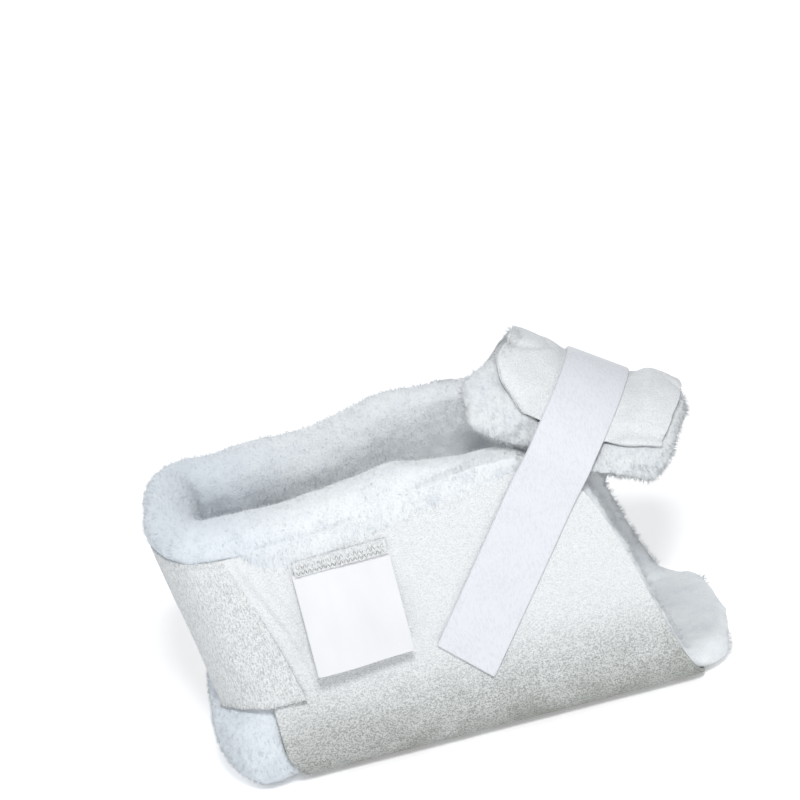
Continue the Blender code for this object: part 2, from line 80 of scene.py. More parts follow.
def copyOfNode(node, name):  # the solid's mesh, joined up and made quads again
    obj = linked(name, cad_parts[node].data.copy())
    obj.data.materials.clear()
    selectOnly(obj)
    bpy.ops.object.mode_set(mode="EDIT")
    bpy.ops.mesh.select_all(action="SELECT")
    bpy.ops.mesh.remove_doubles(threshold=1e-5)
    bpy.ops.mesh.tris_convert_to_quads(face_threshold=math.radians(50), shape_threshold=math.radians(60))
    bpy.ops.mesh.customdata_custom_splitnormals_clear()
    bpy.ops.object.mode_set(mode="OBJECT")
    return obj


def addModifier(obj, kind, **values):
    modifier = obj.modifiers.new(kind.lower(), kind)
    for name, value in values.items():
        setattr(modifier, name, value)
    selectOnly(obj)
    bpy.ops.object.modifier_apply(modifier=modifier.name)


def creaseSharpEdges(obj, angle, amount):  # keeps cut edges crisp under subdivision
    selectOnly(obj)
    bpy.ops.object.mode_set(mode="EDIT")
    bpy.ops.mesh.select_all(action="DESELECT")
    bpy.ops.mesh.select_mode(type="EDGE")
    bpy.ops.mesh.edges_select_sharp(sharpness=angle)
    bpy.ops.transform.edge_crease(value=amount)
    bpy.ops.mesh.select_mode(type="VERT")
    bpy.ops.object.mode_set(mode="OBJECT")


def subdivided(obj, levels):
    addModifier(obj, "SUBSURF", levels=levels, render_levels=levels)


def remeshed(obj, size, smoothing):
    addModifier(obj, "REMESH", mode="VOXEL", voxel_size=size, use_smooth_shade=True)
    if smoothing:
        addModifier(obj, "SMOOTH", factor=0.5, iterations=smoothing)


def moveAlongNormals(obj, distanceAt):  # distanceAt(place, normal) says how far a point moves out
    moves = [distanceAt(vert.co, vert.normal) for vert in obj.data.vertices]
    normals = [vert.normal.copy() for vert in obj.data.vertices]
    for vert, normal, distance in zip(obj.data.vertices, normals, moves):
        vert.co += normal * distance
    obj.data.update()


def treeOf(obj):
    mesh = obj.data
    return BVHTree.FromPolygons([v.co for v in mesh.vertices], [p.vertices[:] for p in mesh.polygons])


def fluff(place, scale, seed=0.0):  # soft noise from -1 to 1, scale in metres
    return noise.noise(place / scale + Vector((seed, seed * 1.7, -seed)))


def finishPiece(obj, material, slot, *nodes):
    for polygon in obj.data.polygons:
        polygon.use_smooth = True
    obj.data.materials.clear()
    obj.data.materials.append(material)
    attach(obj, body)
    if nodes:
        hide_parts(*nodes)


# Node helpers for materials
def newMaterial(name):
    material = bpy.data.materials.new(name)
    material.use_nodes = True
    return material, material.node_tree.nodes, material.node_tree.links


def addNode(nodes, kind, **values):
    node = nodes.new(kind)
    for name, value in values.items():
        if name in node.inputs:
            node.inputs[name].default_value = value
        else:
            setattr(node, name, value)
    return node


def mapped(nodes, links, scale, turn=(0, 0, 0)):
    place = addNode(nodes, "ShaderNodeTexCoord")
    mapping = addNode(nodes, "ShaderNodeMapping", Scale=scale, Rotation=turn)
    links.new(place.outputs["Object"], mapping.inputs["Vector"])
    return mapping.outputs["Vector"]


def shareOf(nodes, name):  # a share that was written on the piece's points
    return addNode(nodes, "ShaderNodeAttribute", attribute_name=name).outputs["Fac"]


def writeShare(obj, name, shareAt):  # shareAt(place, normal) from 0 to 1
    layer = obj.data.attributes.new(name, "FLOAT", "POINT")
    layer.data.foreach_set("value", [shareAt(vert.co, vert.normal) for vert in obj.data.vertices])


def noiseOn(nodes, links, vector, scale, detail=4.0, roughness=0.55):
    texture = addNode(nodes, "ShaderNodeTexNoise", Scale=scale, Detail=detail, Roughness=roughness)
    links.new(vector, texture.inputs["Vector"])
    return texture.outputs["Fac"]


def cellsOn(nodes, links, vector, scale, feature="SMOOTH_F1"):
    texture = addNode(nodes, "ShaderNodeTexVoronoi", feature=feature, Scale=scale)
    links.new(vector, texture.inputs["Vector"])
    return texture.outputs["Distance"]


def mathOf(nodes, links, operation, a, b):
    node = addNode(nodes, "ShaderNodeMath", operation=operation)
    for socket, value in zip(node.inputs, (a, b)):
        if isinstance(value, (int, float)):
            socket.default_value = value
        else:
            links.new(value, socket)
    return node.outputs[0]


def mixedBy(nodes, links, factor, a, b):  # a number or colour between a and b
    colours = any(isinstance(value, tuple) or getattr(value, "type", "") == "RGBA" for value in (a, b))
    node = addNode(nodes, "ShaderNodeMix", data_type="RGBA" if colours else "FLOAT")
    pair = [socket for socket in node.inputs if socket.enabled and socket.name in ("A", "B")]
    factorSocket = [socket for socket in node.inputs if socket.enabled and socket.name == "Factor"][0]
    for socket, value in zip([factorSocket] + pair, (factor, a, b)):
        if isinstance(value, (int, float, tuple)):
            socket.default_value = value
        else:
            links.new(value, socket)
    return [socket for socket in node.outputs if socket.enabled][0]


def ramped(nodes, links, factor, stops):
    ramp = addNode(nodes, "ShaderNodeValToRGB")
    links.new(factor, ramp.inputs["Fac"])
    elements = ramp.color_ramp.elements
    while len(elements) < len(stops):
        elements.new(0.5)
    for element, (position, colour) in zip(elements, stops):
        element.position = position
        element.color = colour
    return ramp.outputs["Color"]


def fadeBetween(nodes, links, value, low, high, atLow, atHigh):
    fade = addNode(nodes, "ShaderNodeMapRange", interpolation_type="SMOOTHSTEP")
    links.new(value, fade.inputs["Value"])
    for name, number in zip(("From Min", "From Max", "To Min", "To Max"), (low, high, atLow, atHigh)):
        fade.inputs[name].default_value = number
    return fade.outputs["Result"]


def bumped(nodes, links, layers):  # layers of (height, strength, distance)
    normal = None
    for height, strength, distance in layers:
        bump = addNode(nodes, "ShaderNodeBump",
                       Strength=abs(strength), Distance=distance, invert=strength < 0)
        links.new(height, bump.inputs["Height"])
        if normal is not None:
            links.new(normal, bump.inputs["Normal"])
        normal = bump.outputs["Normal"]
    return normal


def setShader(nodes, links, colour, normal, roughness, sheen=0.0):
    shader = nodes["Principled BSDF"]
    links.new(colour, shader.inputs["Base Color"])
    if normal is not None:
        links.new(normal, shader.inputs["Normal"])
    shader.inputs["Roughness"].default_value = roughness
    shader.inputs["Specular IOR Level"].default_value = 0.2
    shader.inputs["Sheen Weight"].default_value = sheen
    shader.inputs["Sheen Roughness"].default_value = 0.6
    return shader


# The camera of the photograph, placed from the cover's near corner at the base
cameraView = {
    "lens": 145.98,
    "elevation": math.radians(25),
    "roll": math.radians(14.5),
    "distance": 1.214,
    "rightOfCorner": 0.0332,
    "aboveCorner": 0.1463,
    "cornerFromCalfEnd": 0.159,
}


def makeCamera():
    low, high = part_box("outer_cover")
    corner = Vector((high[0] - cameraView["cornerFromCalfEnd"], low[1], low[2]))
    elevation, roll = cameraView["elevation"], cameraView["roll"]
    forward = Vector((0, math.cos(elevation), -math.sin(elevation)))
    level, raised = Vector((1, 0, 0)), Vector((0, math.sin(elevation), math.cos(elevation)))
    right = level * math.cos(roll) - raised * math.sin(roll)
    up = level * math.sin(roll) + raised * math.cos(roll)
    place = corner - forward * cameraView["distance"]
    place += right * cameraView["rightOfCorner"] + up * cameraView["aboveCorner"]
    camera = bpy.data.objects.new("camera", bpy.data.cameras.new("camera"))
    bpy.context.scene.collection.objects.link(camera)
    turned = Matrix((right, up, -forward)).transposed().to_4x4()
    camera.matrix_world = Matrix.Translation(place) @ turned
    camera.data.lens = cameraView["lens"]
    camera.data.sensor_width = 36
    camera.data.clip_start, camera.data.clip_end = 0.05, 20
    bpy.context.scene.camera = camera


# Light and floor
studio = {
    "skyColour": (0.95, 0.975, 1.0, 1),
    "skyStrength": 0.52,
    "keyPower": 13.5,
    "keyPlace": (0.10, -1.00, 1.12),
    "keySize": 0.22,
    "backPower": 8.0,
    "backPlace": (-0.75, 1.15, 0.55),
    "backSize": 0.9,
    "floorSize": 6.0,
    "floorColour": (0.95, 0.95, 0.95, 1),
    "floorGlow": 0.22,  # lifts the paper towards white
    "floorGap": 0.0002,
}


def makeAreaLight(name, place, power, size):
    light = bpy.data.lights.new(name, "AREA")
    light.energy, light.size = power, size
    lamp = bpy.data.objects.new(name, light)
    bpy.context.scene.collection.objects.link(lamp)
    lamp.location = place
    lamp.rotation_mode = "QUATERNION"
    lamp.rotation_quaternion = (Vector((0, 0, 0.05)) - Vector(place)).to_track_quat("-Z", "Y")


def makeStudio():
    world = bpy.data.worlds.new("studio")
    world.use_nodes = True
    background = world.node_tree.nodes["Background"]
    background.inputs["Color"].default_value = studio["skyColour"]
    background.inputs["Strength"].default_value = studio["skyStrength"]
    bpy.context.scene.world = world
    makeAreaLight("keyLight", studio["keyPlace"], studio["keyPower"], studio["keySize"])
    makeAreaLight("backLight", studio["backPlace"], studio["backPower"], studio["backSize"])
    bpy.ops.object.select_all(action="DESELECT")
    bpy.ops.mesh.primitive_plane_add(size=studio["floorSize"], location=(0, 0, -studio["floorGap"]))
    floor = bpy.context.active_object
    floor.name = "studioFloor"
    material, nodes, links = newMaterial("floorPaper")
    paper = nodes["Principled BSDF"]
    paper.inputs["Base Color"].default_value = studio["floorColour"]
    paper.inputs["Roughness"].default_value = 0.9
    paper.inputs["Emission Color"].default_value = studio["floorColour"]
    paper.inputs["Emission Strength"].default_value = studio["floorGlow"]
    floor.data.materials.append(material)
    bpy.context.scene.view_settings.view_transform = "Standard"
    print("studio and camera are set")


# Cloth finishes
terryFinish = {
    # lit and hollow: the loops' colours in light and in painted shade; smooth: the upper cloth's colour,
    # lighter with painted light from above
    "lit": (0.71, 0.725, 0.73, 1),
    "hollow": (0.37, 0.39, 0.395, 1),
    "smooth": (0.735, 0.75, 0.76, 1),
    # low: painted shade, a dark olive, where the cloth turns under at the bottom
    "low": (0.20, 0.205, 0.175, 1),
    "underShadeHeight": 0.046,
    "grainsPerMetre": 1700,
    "rowsPerMetre": 1300,
    "stretch": 0.65,
    "bumpDepth": 0.0008,
}


def makeTerry():  # looped knit: rows run along the sides, and upright across the sole
    material, nodes, links = newMaterial("terryKnit")
    stretch, rows = terryFinish["stretch"], terryFinish["rowsPerMetre"]
    plain = mapped(nodes, links, (1, 1, 1))
    sideRows = mapped(nodes, links, (stretch, 1, 1))
    soleRows = mapped(nodes, links, (1, 1, stretch * 0.4))
    soft, onSole = shareOf(nodes, "soft"), shareOf(nodes, "sole")
    rowHeight = mixedBy(nodes, links, onSole, noiseOn(nodes, links, sideRows, rows, 2, 0.5),
                        noiseOn(nodes, links, soleRows, rows * 1.7, 2, 0.5))
    loops = cellsOn(nodes, links, plain, terryFinish["grainsPerMetre"], "F1")
    grain = noiseOn(nodes, links, plain, terryFinish["grainsPerMetre"], 2, 0.6)
    patches = noiseOn(nodes, links, plain, 70, 3)
    place = addNode(nodes, "ShaderNodeTexCoord")
    placeSplit = addNode(nodes, "ShaderNodeSeparateXYZ")
    links.new(place.outputs["Object"], placeSplit.inputs[0])
    # painted shade: towards the bottom the cloth darkens to the low colour, mottled by the patches and deeper
    # in the loops' hollows
    low = fadeBetween(nodes, links, placeSplit.outputs["Z"], 0, terryFinish["underShadeHeight"], 0.95, 0)
    shade = mixedBy(nodes, links, mixedBy(nodes, links, onSole, 0.3, 0.5), grain, rowHeight)
    dark = ramped(nodes, links, shade, [(0.40, (1, 1, 1, 1)), (0.56, (0, 0, 0, 1))])
    # painted shade in the loops' hollows, thinned where the soft share is high
    hollow = mathOf(nodes, links, "MULTIPLY", dark, mixedBy(nodes, links, soft, 0.95, 0.12))
    lit = mixedBy(nodes, links, soft, terryFinish["lit"], terryFinish["smooth"])
    clean = mixedBy(nodes, links, hollow, lit, terryFinish["hollow"])
    shadow = mathOf(nodes, links, "MULTIPLY", low, mathOf(nodes, links, "ADD", patches, 0.05))
    shadow = mathOf(nodes, links, "ADD", shadow, mathOf(nodes, links, "MULTIPLY", low,
                                                        mathOf(nodes, links, "MULTIPLY", dark, 0.35)))
    colour = mixedBy(nodes, links, mathOf(nodes, links, "MINIMUM", shadow, 0.9), clean, terryFinish["low"])
    depth = terryFinish["bumpDepth"]
    normal = bumped(nodes, links, [(patches, 0.2, 0.002), (rowHeight, 0.35, depth), (grain, 0.45, depth),
                                   (loops, -0.3, depth)])
    setShader(nodes, links, colour, normal, 0.95, 0.1)
    return material


pileFinish = {
    "lit": (0.755, 0.78, 0.795, 1),
    "deep": (0.645, 0.68, 0.715, 1),
    "heelShade": (0.60, 0.66, 0.725, 1),  # painted shade: darker and cooler towards the sole end, which is turned from the light
    "heelShadeShare": 0.7,
    "flapLight": 0.9,  # the flap's pile is a little greyer than the boot's
    "heelShadeEnd": -0.035,
    "clumpsPerMetre": 130,
    "fibresPerMetre": 1300,
    "clumpDepth": 0.0016,
    "fibreDepth": 0.0008,
}


def dimmed(colour, share):
    return (colour[0] * share, colour[1] * share, colour[2] * share, 1)


def makePile(name, light):  # soft fleece: clumps of fine fibres, bluish where they part
    material, nodes, links = newMaterial(name)
    lit, deep = dimmed(pileFinish["lit"], light), dimmed(pileFinish["deep"], light)
    plain = mapped(nodes, links, (1, 1, 1))
    clumps = noiseOn(nodes, links, plain, pileFinish["clumpsPerMetre"], 5, 0.6)
    fibres = noiseOn(nodes, links, plain, pileFinish["fibresPerMetre"], 4, 0.7)
    shade = mathOf(nodes, links, "ADD", mathOf(nodes, links, "MULTIPLY", clumps, 0.5),
                   mathOf(nodes, links, "MULTIPLY", fibres, 0.5))
    colour = ramped(nodes, links, shade, [(0.38, deep), (0.54, lit)])
    place = addNode(nodes, "ShaderNodeTexCoord")
    placeSplit = addNode(nodes, "ShaderNodeSeparateXYZ")
    links.new(place.outputs["Object"], placeSplit.inputs[0])
    # painted shade: the pile darkens and cools towards the sole end
    heelShadeFade = fadeBetween(nodes, links, placeSplit.outputs["X"], -0.112, pileFinish["heelShadeEnd"],
                       pileFinish["heelShadeShare"], 0)
    colour = mixedBy(nodes, links, heelShadeFade, colour, pileFinish["heelShade"])
    layers = [(clumps, 0.3, pileFinish["clumpDepth"]), (fibres, 0.5, pileFinish["fibreDepth"])]
    normal = bumped(nodes, links, layers)
    setShader(nodes, links, colour, normal, 1.0, 0.25)
    return material


strapFinish = {
    "lit": (0.665, 0.68, 0.715, 1),
    "hollow": (0.605, 0.62, 0.66, 1),
    "ribsPerMetre": 620,
    "tilt": math.radians(37),
}


def makeWebbing():  # brushed loop tape: fine ribs along its length under soft fuzz
    material, nodes, links = newMaterial("strapWebbing")
    along = mapped(nodes, links, (1, 1, 1), (0, -strapFinish["tilt"], 0))
    stretched = mapped(nodes, links, (1, 0.35, 0.35), (0, -strapFinish["tilt"], 0))
    ribs = addNode(nodes, "ShaderNodeTexWave", wave_type="BANDS", bands_direction="X",
                   Scale=strapFinish["ribsPerMetre"] / 20, Distortion=1.5, Detail=2.0)
    links.new(along, ribs.inputs["Vector"])
    fuzz = noiseOn(nodes, links, stretched, 1600, 4, 0.7)
    patches = noiseOn(nodes, links, along, 120, 3)
    shade = mathOf(nodes, links, "ADD", mathOf(nodes, links, "MULTIPLY", fuzz, 0.8),
                   mathOf(nodes, links, "MULTIPLY", patches, 0.2))
    colour = ramped(nodes, links, shade, [(0.40, strapFinish["hollow"]), (0.52, strapFinish["lit"])])
    normal = bumped(nodes, links, [(ribs.outputs["Fac"], 0.12, 0.0003), (fuzz, 0.35, 0.0004)])
    setShader(nodes, links, colour, normal, 0.8, 0.25)
    return material


satinFinish = {
    "colour": (0.725, 0.73, 0.745, 1),
    "shade": (0.665, 0.67, 0.69, 1),
    "threadsPerMetre": 2200,
}


def makeSatin():  # smooth woven tape of the bare label
    material, nodes, links = newMaterial("labelSatin")
    fine = mapped(nodes, links, (1, 1, 0.3))
    threads = noiseOn(nodes, links, fine, satinFinish["threadsPerMetre"], 3)
    soft = noiseOn(nodes, links, fine, 60, 2)
    colour = ramped(nodes, links, soft, [(0.3, satinFinish["shade"]), (0.7, satinFinish["colour"])])
    normal = bumped(nodes, links, [(threads, 0.15, 0.0002)])
    setShader(nodes, links, colour, normal, 0.45, 0.1)
    return material


# Where the boot's cloths lie, from the frame and the sizes of its upper edge
bootShape = {
    "baseLength": 0.164,
    "upperLength": 0.109,  # cut edge to calf edge, along the top of a side
    "height": 0.0995,
    "ankleRise": 0.011,
    "farRise": 0.007,
    "cornerWidth": 0.026,
    "cornerLength": 0.021,
    "soleFlare": 0.008,
    "notchHeight": 0.0385,
    "heelLean": 0.004,
}
upperEdge = (  # along a side, share of ankleRise, share of farRise
    (0.00, 0.00, 0.00),
    (0.30, 0.00, 0.05),
    (0.46, 0.18, 0.25),
    (0.58, 0.42, 0.60),
    (0.68, 0.62, 0.85),
    (0.84, 0.82, 1.00),
    (1.00, 1.00, 0.80),
)
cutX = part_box("outer_cover")[1][0] - bootShape["baseLength"]
plainCover = None  # the cover's solid as a tree, set once it is copied


def alongTable(table, value, number):
    for before, after in zip(table, table[1:]):
        if value <= after[0]:
            return mix(before[number], after[number], clamp((value - before[0]) / (after[0] - before[0])))
    return table[-1][number]


def rimHeight(x, hand):
    along = (x - cutX) / bootShape["upperLength"]
    rise = bootShape["ankleRise"] * alongTable(upperEdge, along, 1)
    if hand > 0:
        rise += bootShape["farRise"] * alongTable(upperEdge, along, 2)
    return bootShape["height"] + rise


def sideFace(x, z, hand):  # how far out the cover's side lies there
    start = Vector((x, hand * 0.09, min(z, rimHeight(x, hand) - millimetre)))
    hit = plainCover.ray_cast(start, Vector((0, -hand, 0)))
    return abs(hit[0].y) if hit[0] is not None else 0


def aroundCorner(place):  # distance from the cut edge, along the cover's outline
    if place.x > cutX:
        return place.x - cutX
    height = clamp((place.z - bootShape["notchHeight"]) / (bootShape["height"] - bootShape["notchHeight"]))
    reach = bootShape["cornerLength"] + bootShape["soleFlare"] * height
    flat = 0.040 - bootShape["cornerWidth"]
    turn = math.atan2((cutX - place.x) / reach, max(abs(place.y) - flat, 1e-5) / bootShape["cornerWidth"])
    return -bootShape["cornerWidth"] * turn


# The cover
coverShape = {
    "flat": (0.30, 0.20),
    "flatArea": 0.048,
    "levels": 3,
    "crease": 0.85,
    "wave": 0.0005,
    "waveLength": 0.035,
    "lump": 0.0002,
    "lumpLength": 0.008,
    "flatBelow": 0.004,  # the base stays level where it rests
    "sink": 0.0018,  # how far the sides' upper edge dives under the pile
    "sinkDepth": 0.010,
    "blendStart": -0.004,  # from the cut edge, where the upper edge starts to dive
    "blendEnd": 0.016,
    "creaseDepth": 0.0011,
    "creaseWidth": 0.0016,
}
creases = (  # from the cut edge at the notch, then at the upper edge, and how deep
    (0.0165, 0.0010, 0.8),
    (0.0205, 0.0080, 0.5),
    (0.0270, 0.0190, 0.3),
)


def sideBlend(place):
    start, end = coverShape["blendStart"], coverShape["blendEnd"]
    return ease((place.x - cutX - start) / (end - start))


def creaseDepthAt(place):
    if place.y > 0 or place.z < bootShape["notchHeight"] - 0.004:
        return 0
    height = (place.z - bootShape["notchHeight"]) / (bootShape["height"] - bootShape["notchHeight"])
    around = aroundCorner(place)
    depth = 0
    for foot, head, share in creases:
        bend = 0.002 * math.sin(height * 5)
        offset = (around - mix(foot, head, clamp(height)) - bend) / coverShape["creaseWidth"]
        depth += share * (math.exp(-offset * offset) - 0.6 * math.exp(-(offset - 1.6) ** 2))
    fade = ease(height * 6 + 0.8) * (1 - 0.6 * ease(height * 1.6 - 0.7))
    return coverShape["creaseDepth"] * depth * fade


def seamPlace(height):  # where the sole's cloth laps over the near side, around the corner
    return mix(0.0127, -0.0035, clamp(height, 0, 1.1)) + 0.0012 * math.sin(height * math.pi)


def heightShare(z):
    return (z - bootShape["notchHeight"]) / (bootShape["height"] - bootShape["notchHeight"])


def softAndLitShare(place, normal):  # smoother and lighter towards the pile's edge and up high; low down and on the sole the real loops get deeper painted shade, where light grazes the cloth
    hand = 1 if place.y > 0 else -1
    below = rimHeight(place.x, hand) - place.z
    upper = 0.85 * ease((place.z - 0.016) / 0.040)
    return max(upper, ease(1 - below / 0.030)) * (1 - soleShare(place, normal) * 0.6)


def soleShare(place, normal):
    if place.z < bootShape["notchHeight"] and place.x > cutX - millimetre:
        return 0.0
    if place.y < 0:
        return ease((seamPlace(heightShare(place.z)) + 0.0005 - aroundCorner(place)) / 0.001)
    return ease(-aroundCorner(place) / 0.012)


def makeCover(material):
    global plainCover
    cover = copyOfNode("outer_cover", "coverCloth")
    plainCover = treeOf(cover)
    creaseSharpEdges(cover, math.radians(60), coverShape["crease"])
    subdivided(cover, coverShape["levels"])

    def wander(place, normal):
        resting = ease(place.z / coverShape["flatBelow"])
        soft = coverShape["wave"] * fluff(place, coverShape["waveLength"], 3.1)
        fine = coverShape["lump"] * fluff(place, coverShape["lumpLength"], 8.7)
        return resting * (soft + fine)

    moveAlongNormals(cover, wander)
    for vert in cover.data.vertices:
        place = vert.co.copy()
        hand = 1 if place.y > 0 else -1
        below = rimHeight(place.x, hand) - place.z
        sink = coverShape["sink"] * ease(1 - below / coverShape["sinkDepth"]) * sideBlend(place)
        vert.co.y -= hand * sink
        inward = creaseDepthAt(place)
        if place.x > cutX:
            vert.co.y += inward
        else:
            vert.co += Vector((-place.x + cutX, -place.y, 0)).normalized() * inward
    writeShare(cover, "soft", softAndLitShare)
    writeShare(cover, "sole", soleShare)
    finishPiece(cover, material, "knit_backing", "outer_cover")
    print("cover:", len(cover.data.polygons), "faces")
    return cover


# The sole's cloth, which laps over the near side along a slanting seam
lapShape = {
    "columns": 110,
    "rows": 34,
    "proud": 0.0017,  # how far its free edge stands out
    "farEnd": -0.034,  # around the corner, where it runs into the cover
    "thickness": 0.0014,
    "tooth": 0.0007,  # pinked teeth of its lower edge
    "toothLength": 0.0019,
    "ruffle": 0.0006,
    "ruffleLength": 0.009,
}
lapEdge = (  # around the corner, height of the lower edge
    (-0.034, 0.0358),
    (-0.028, 0.0368),
    (-0.020, 0.0378),
    (-0.012, 0.0384),
    (-0.004, 0.0386),
    (0.002, 0.0382),
    (0.008, 0.0377),
    (0.013, 0.0379),
)


def onCover(tree, around, z, lift):  # a point off the near side or corner of the cover
    height = clamp((z - bootShape["notchHeight"]) / (bootShape["height"] - bootShape["notchHeight"]), 0, 1.2)
    lean = mix(0, bootShape["heelLean"], height)
    half = 0.042 - lean
    if around > 0:
        place, outwards = Vector((cutX + around, -half, z)), Vector((0, -1, 0))
    else:
        width, reach = bootShape["cornerWidth"], bootShape["cornerLength"] + bootShape["soleFlare"] * height
        turn = -around / width
        place = Vector((cutX - reach * math.sin(turn), -(half - width + width * math.cos(turn)), z))
        outwards = Vector((-math.sin(turn) / reach, -math.cos(turn) / width, 0)).normalized()
    hit = tree.ray_cast(place + outwards * 0.02, -outwards, 0.024)
    return (hit[0] if hit[0] is not None else place) + outwards * lift


def makeLap(material, cover):
    tree = treeOf(cover)
    columns, rows = lapShape["columns"], lapShape["rows"]
    farEnd, toothLength = lapShape["farEnd"], lapShape["toothLength"]
    points = []
    for row in range(rows + 1):
        up = row / rows
        for column in range(columns + 1):
            share = column / columns
            around = mix(farEnd, seamPlace(0), share)
            foot = alongTable(lapEdge, around, 1)
            tooth = abs((around / toothLength) % 1 - 0.5) * 2
            foot += lapShape["tooth"] * tooth
            z = mix(foot, bootShape["height"] - 0.001, up)
            around = mix(farEnd, seamPlace(heightShare(z)), share)
            place = Vector((around, 0, z))
            lift = mix(-0.0004, lapShape["proud"], ease(share * 1.15 - 0.15) * (1 - 0.75 * ease(up * 1.1)))
            lift += 0.0009 * (1 - share) * ease(1 - up * 6) * ease(share * 12)
            lift += lapShape["ruffle"] * fluff(place, lapShape["ruffleLength"], 5.5) * ease(share * 3)
            lift += 0.0012 * ease(1 - up * 8) * ease(share * 5 - 4)
            points.append(onCover(tree, around, z, lift))
    faces = []
    for row in range(rows):
        for column in range(columns):
            start = row * (columns + 1) + column
            faces.append((start, start + 1, start + columns + 2, start + columns + 1))
    mesh = bpy.data.meshes.new("soleLap")
    mesh.from_pydata(points, [], faces)
    lap = linked("soleLap", mesh)
    addModifier(lap, "SOLIDIFY", thickness=lapShape["thickness"], offset=-1)
    writeShare(lap, "soft", lambda place, normal: 0.25 + 0.4 * ease((place.z - 0.085) / 0.02))
    writeShare(lap, "sole", lambda place, normal: 1.0)
    finishPiece(lap, material, "knit_backing")
    print("lap:", len(lap.data.polygons), "faces")
    return lap


# The pile inside the boot
liningShape = {
    "voxel": 0.0024,
    "smoothing": 4,
    "clump": 0.0007,
    "clumpLength": 0.014,
    "tuft": 0.0003,
    "tuftLength": 0.0035,
    "clearance": 0.0004,
    "restHeight": 0.0008,
    "overhang": 0.0008,  # how far the rim swells past the sides
    "underCover": 0.0023,
    "blendDepth": 0.018,  # how far below the upper edge the pile comes out
}


def fluffUp(obj, shape, neighbours, seed):
    trees = [treeOf(neighbour) for neighbour in neighbours]

    def rise(place, normal):
        lift = shape["clump"] * fluff(place, shape["clumpLength"], seed)
        lift += shape["tuft"] * fluff(place, shape["tuftLength"], seed + 5)
        for tree in trees:
            hit = tree.find_nearest(place, 0.006)
            if hit[0] is not None:
                lift = min(lift, (hit[3] - shape["clearance"]) * 0.7)
        return lift

    moveAlongNormals(obj, rise)


def blendIntoSides(lining):  # the rim's pile comes out over the sides with no step
    for vert in lining.data.vertices:
        place, outwards = vert.co, vert.normal.y * (1 if vert.co.y > 0 else -1)
        hand = 1 if place.y > 0 else -1
        below = rimHeight(place.x, hand) - place.z
        share = sideBlend(place)
        if outwards < 0.4 or not -0.002 < below < liningShape["blendDepth"] or share == 0:
            continue
        face = sideFace(place.x, place.z, hand)
        if abs(place.y) < face - 0.005:
            continue
        tucked = ease(below / liningShape["blendDepth"])
        offset = mix(liningShape["overhang"], -liningShape["underCover"], tucked)
        wanted = mix(abs(place.y), face + offset, share)
        vert.co.y = hand * max(abs(place.y), wanted)


# Loose fibres that stand out of the pile
fibreShape = {
    "short": 0.0019,
    "long": 0.0034,
    "frayed": 0.0014,  # threads at the cover's cut edges
    "floorGap": 0.0004,
    "thickness": 0.00011,
    "lean": 0.9,
}


def addFibres(obj, name, count, material, isFleecy, length, slot="fleece_pile"):
    polygons = [face for face in obj.data.polygons if isFleecy(face.center, face.normal)]
    chosen = random.choices(polygons, weights=[face.area for face in polygons], k=count)
    points, faces = [], []
    for face in chosen:
        corners = [obj.data.vertices[index].co for index in face.vertices]
        weights = [random.random() + 0.05 for corner in corners]
        foot = sum((corner * weight for corner, weight in zip(corners, weights)), Vector()) / sum(weights)
        side = face.normal.orthogonal().normalized()
        across = face.normal.cross(side)
        heading = random.uniform(0, math.tau)
        lean = side * math.cos(heading) + across * math.sin(heading)
        lean = lean * fibreShape["lean"] * random.uniform(0.3, 1)
        tip = foot + (face.normal + lean).normalized() * length * random.uniform(0.45, 1)
        tip.z = max(tip.z, fibreShape["floorGap"])
        start = len(points)
        for corner in range(3):
            turn = heading + corner * math.tau / 3
            around = (side * math.cos(turn) + across * math.sin(turn)) * fibreShape["thickness"]
            root = foot - face.normal * 0.0003 + around
            root.z = max(root.z, fibreShape["floorGap"])
            points.append(root)
        points.append(tip)
        faces += [(start, start + 1, start + 3), (start + 1, start + 2, start + 3),
                  (start + 2, start, start + 3)]
    mesh = bpy.data.meshes.new(name)
    mesh.from_pydata(points, [], faces)
    fibres = linked(name, mesh)
    if slot == "knit_backing":
        writeShare(fibres, "soft", lambda place, normal: 0.6)
        writeShare(fibres, "sole", lambda place, normal: 0.0)
    finishPiece(fibres, material, slot)
    print(name + ":", count, "fibres")
    return fibres


def isRimPile(place, normal):  # the rolled edge, the notch and the tail, not the inside
    hand = 1 if place.y > 0 else -1
    onRim = place.z > rimHeight(place.x, hand) - 0.018
    inNotch = place.x < cutX + 0.004 and place.z < bootShape["notchHeight"] + 0.004
    return onRim or inNotch


def isAnyPile(place, normal):
    return True


def isFringe(place, normal):  # the flap's pile edges, on the near side and towards the calf
    return place.y < -0.020 and normal.z < 0.1 or abs(normal.x) > 0.85


def isCutEdge(place, normal):  # the pile's edge at the calf end of the sides
    return normal.x > 0.75 and place.x > 0.02 and abs(place.y) > 0.020


def isNotchEdge(place, normal):  # the side's cut edge beside the notch
    return normal.x < -0.5 and abs(place.x - cutX) < 0.012 and place.z < bootShape["notchHeight"]


def isLapFoot(place, normal):
    return normal.z < -0.5


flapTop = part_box("ankle_flap_backing")[1][2]


def isFlapCorner(place, normal):  # the highest corner of the flap
    return place.z > flapTop - 0.0025


def makeLining(material, neighbours):
    lining = copyOfNode("pile_lining", "liningPile")
    remeshed(lining, liningShape["voxel"], liningShape["smoothing"])
    subdivided(lining, 1)
    fluffUp(lining, liningShape, neighbours, 1.3)
    blendIntoSides(lining)
    for vert in lining.data.vertices:
        vert.co.z = max(vert.co.z, liningShape["restHeight"])
    finishPiece(lining, material, "fleece_pile", "pile_lining")
    print("lining:", len(lining.data.polygons), "faces")
    return lining


